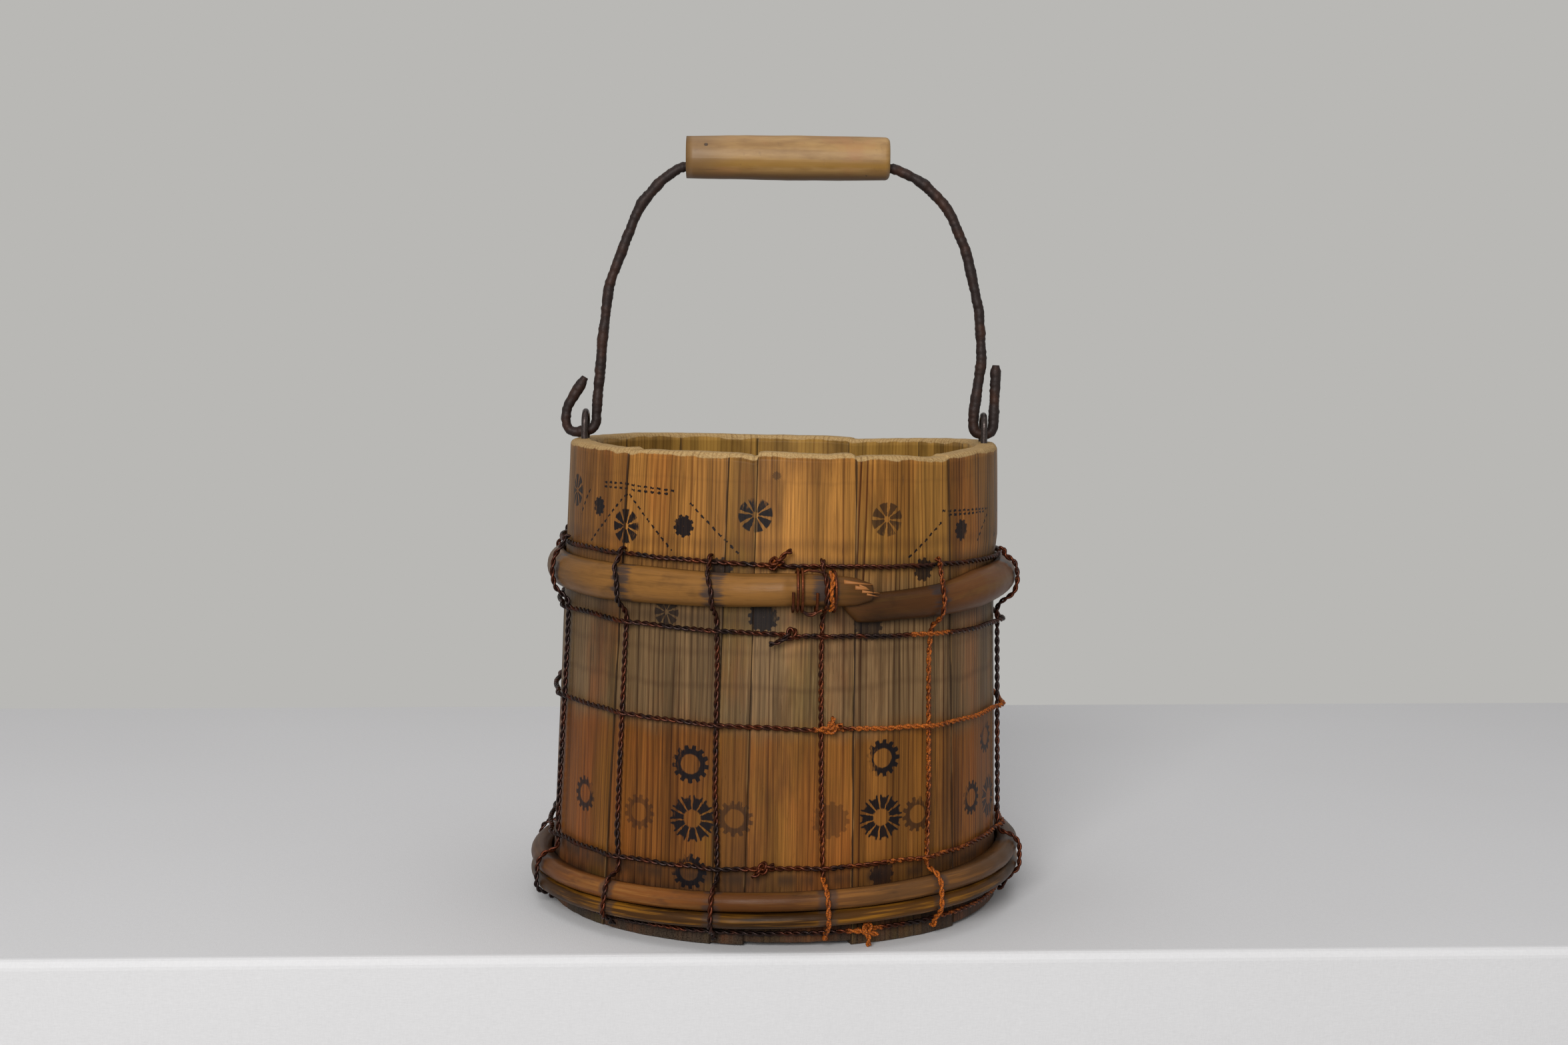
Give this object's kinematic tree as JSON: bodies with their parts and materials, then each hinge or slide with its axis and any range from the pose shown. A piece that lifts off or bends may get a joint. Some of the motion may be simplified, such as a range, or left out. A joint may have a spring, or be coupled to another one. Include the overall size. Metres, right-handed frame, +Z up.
{
  "type": "stave-built wooden pail",
  "caption": "Stave-built wooden pail bound by two bent wood hoops and a net of twisted iron wire, with a swinging iron bail and a wooden grip.",
  "frame": {"origin": "middle of the pail's foot, on the surface that it stands on", "axes": "+Z up along the pail's axis, +X to the right hand seen from the front where the upper hoop's ends lap, -Y towards that front; the bail swings about an axis along X"},
  "size_m": [0.2722, 0.2737, 0.4115],
  "materials": {
    "stave_wood": "worn, oiled and dirty, rough",
    "floor_wood": "dry and dusty, rough",
    "pin_wood": "bare",
    "upper_hoop_wood": "peeled pole, worn smooth",
    "lower_hoop_wood": "split pole, worn smooth",
    "tie_iron": "rusted",
    "lashing_iron": "rusted",
    "eye_iron": "dark, worn",
    "bail_iron": "rusted and pitted",
    "grip_wood": "handled, dry"
  },
  "bodies": {
    "bucket": {"stave_01": "stave_wood", "stave_02": "stave_wood", "stave_03": "stave_wood", "stave_04": "stave_wood", "stave_05": "stave_wood", "stave_06": "stave_wood", "stave_07": "stave_wood", "stave_08": "stave_wood", "stave_09": "stave_wood", "stave_10": "stave_wood", "stave_11": "stave_wood", "stave_12": "stave_wood", "stave_13": "stave_wood", "stave_14": "stave_wood", "stave_pins": "pin_wood", "floor_plank_left": "floor_wood", "floor_plank_middle": "floor_wood", "floor_plank_right": "floor_wood", "floor_pins": "pin_wood", "upper_hoop": "upper_hoop_wood", "lower_hoop_upper_strip": "lower_hoop_wood", "lower_hoop_lower_strip": "lower_hoop_wood", "ring_wire_1": "tie_iron", "ring_wire_2": "tie_iron", "ring_wire_3": "tie_iron", "ring_wire_4": "tie_iron", "ring_wire_5": "tie_iron", "tie_wire_01": "tie_iron", "tie_wire_02": "tie_iron", "tie_wire_03": "tie_iron", "tie_wire_04": "tie_iron", "tie_wire_05": "tie_iron", "tie_wire_06": "tie_iron", "tie_wire_07": "tie_iron", "tie_wire_08": "tie_iron", "tie_wire_09": "tie_iron", "tie_wire_10": "tie_iron", "tie_wire_11": "tie_iron", "tie_wire_12": "tie_iron", "lap_lashing_left": "lashing_iron", "lap_lashing_right": "lashing_iron", "bail_eye_left": "eye_iron", "bail_eye_right": "eye_iron"},
    "bail": {"bail": "bail_iron"},
    "grip": {"grip": "grip_wood"}
  },
  "joints": [
    {"name": "bail_swing", "type": "hinge", "parent": "bucket", "child": "bail", "pos_m": [0, 0, 0.2514], "axis": [1, 0, 0], "range_deg": [-88, 88]},
    {"name": "grip_spin", "type": "hinge", "parent": "bail", "child": "grip", "pos_m": [0, 0, 0.3945], "axis": [1, 0, 0], "continuous": true}
  ]
}
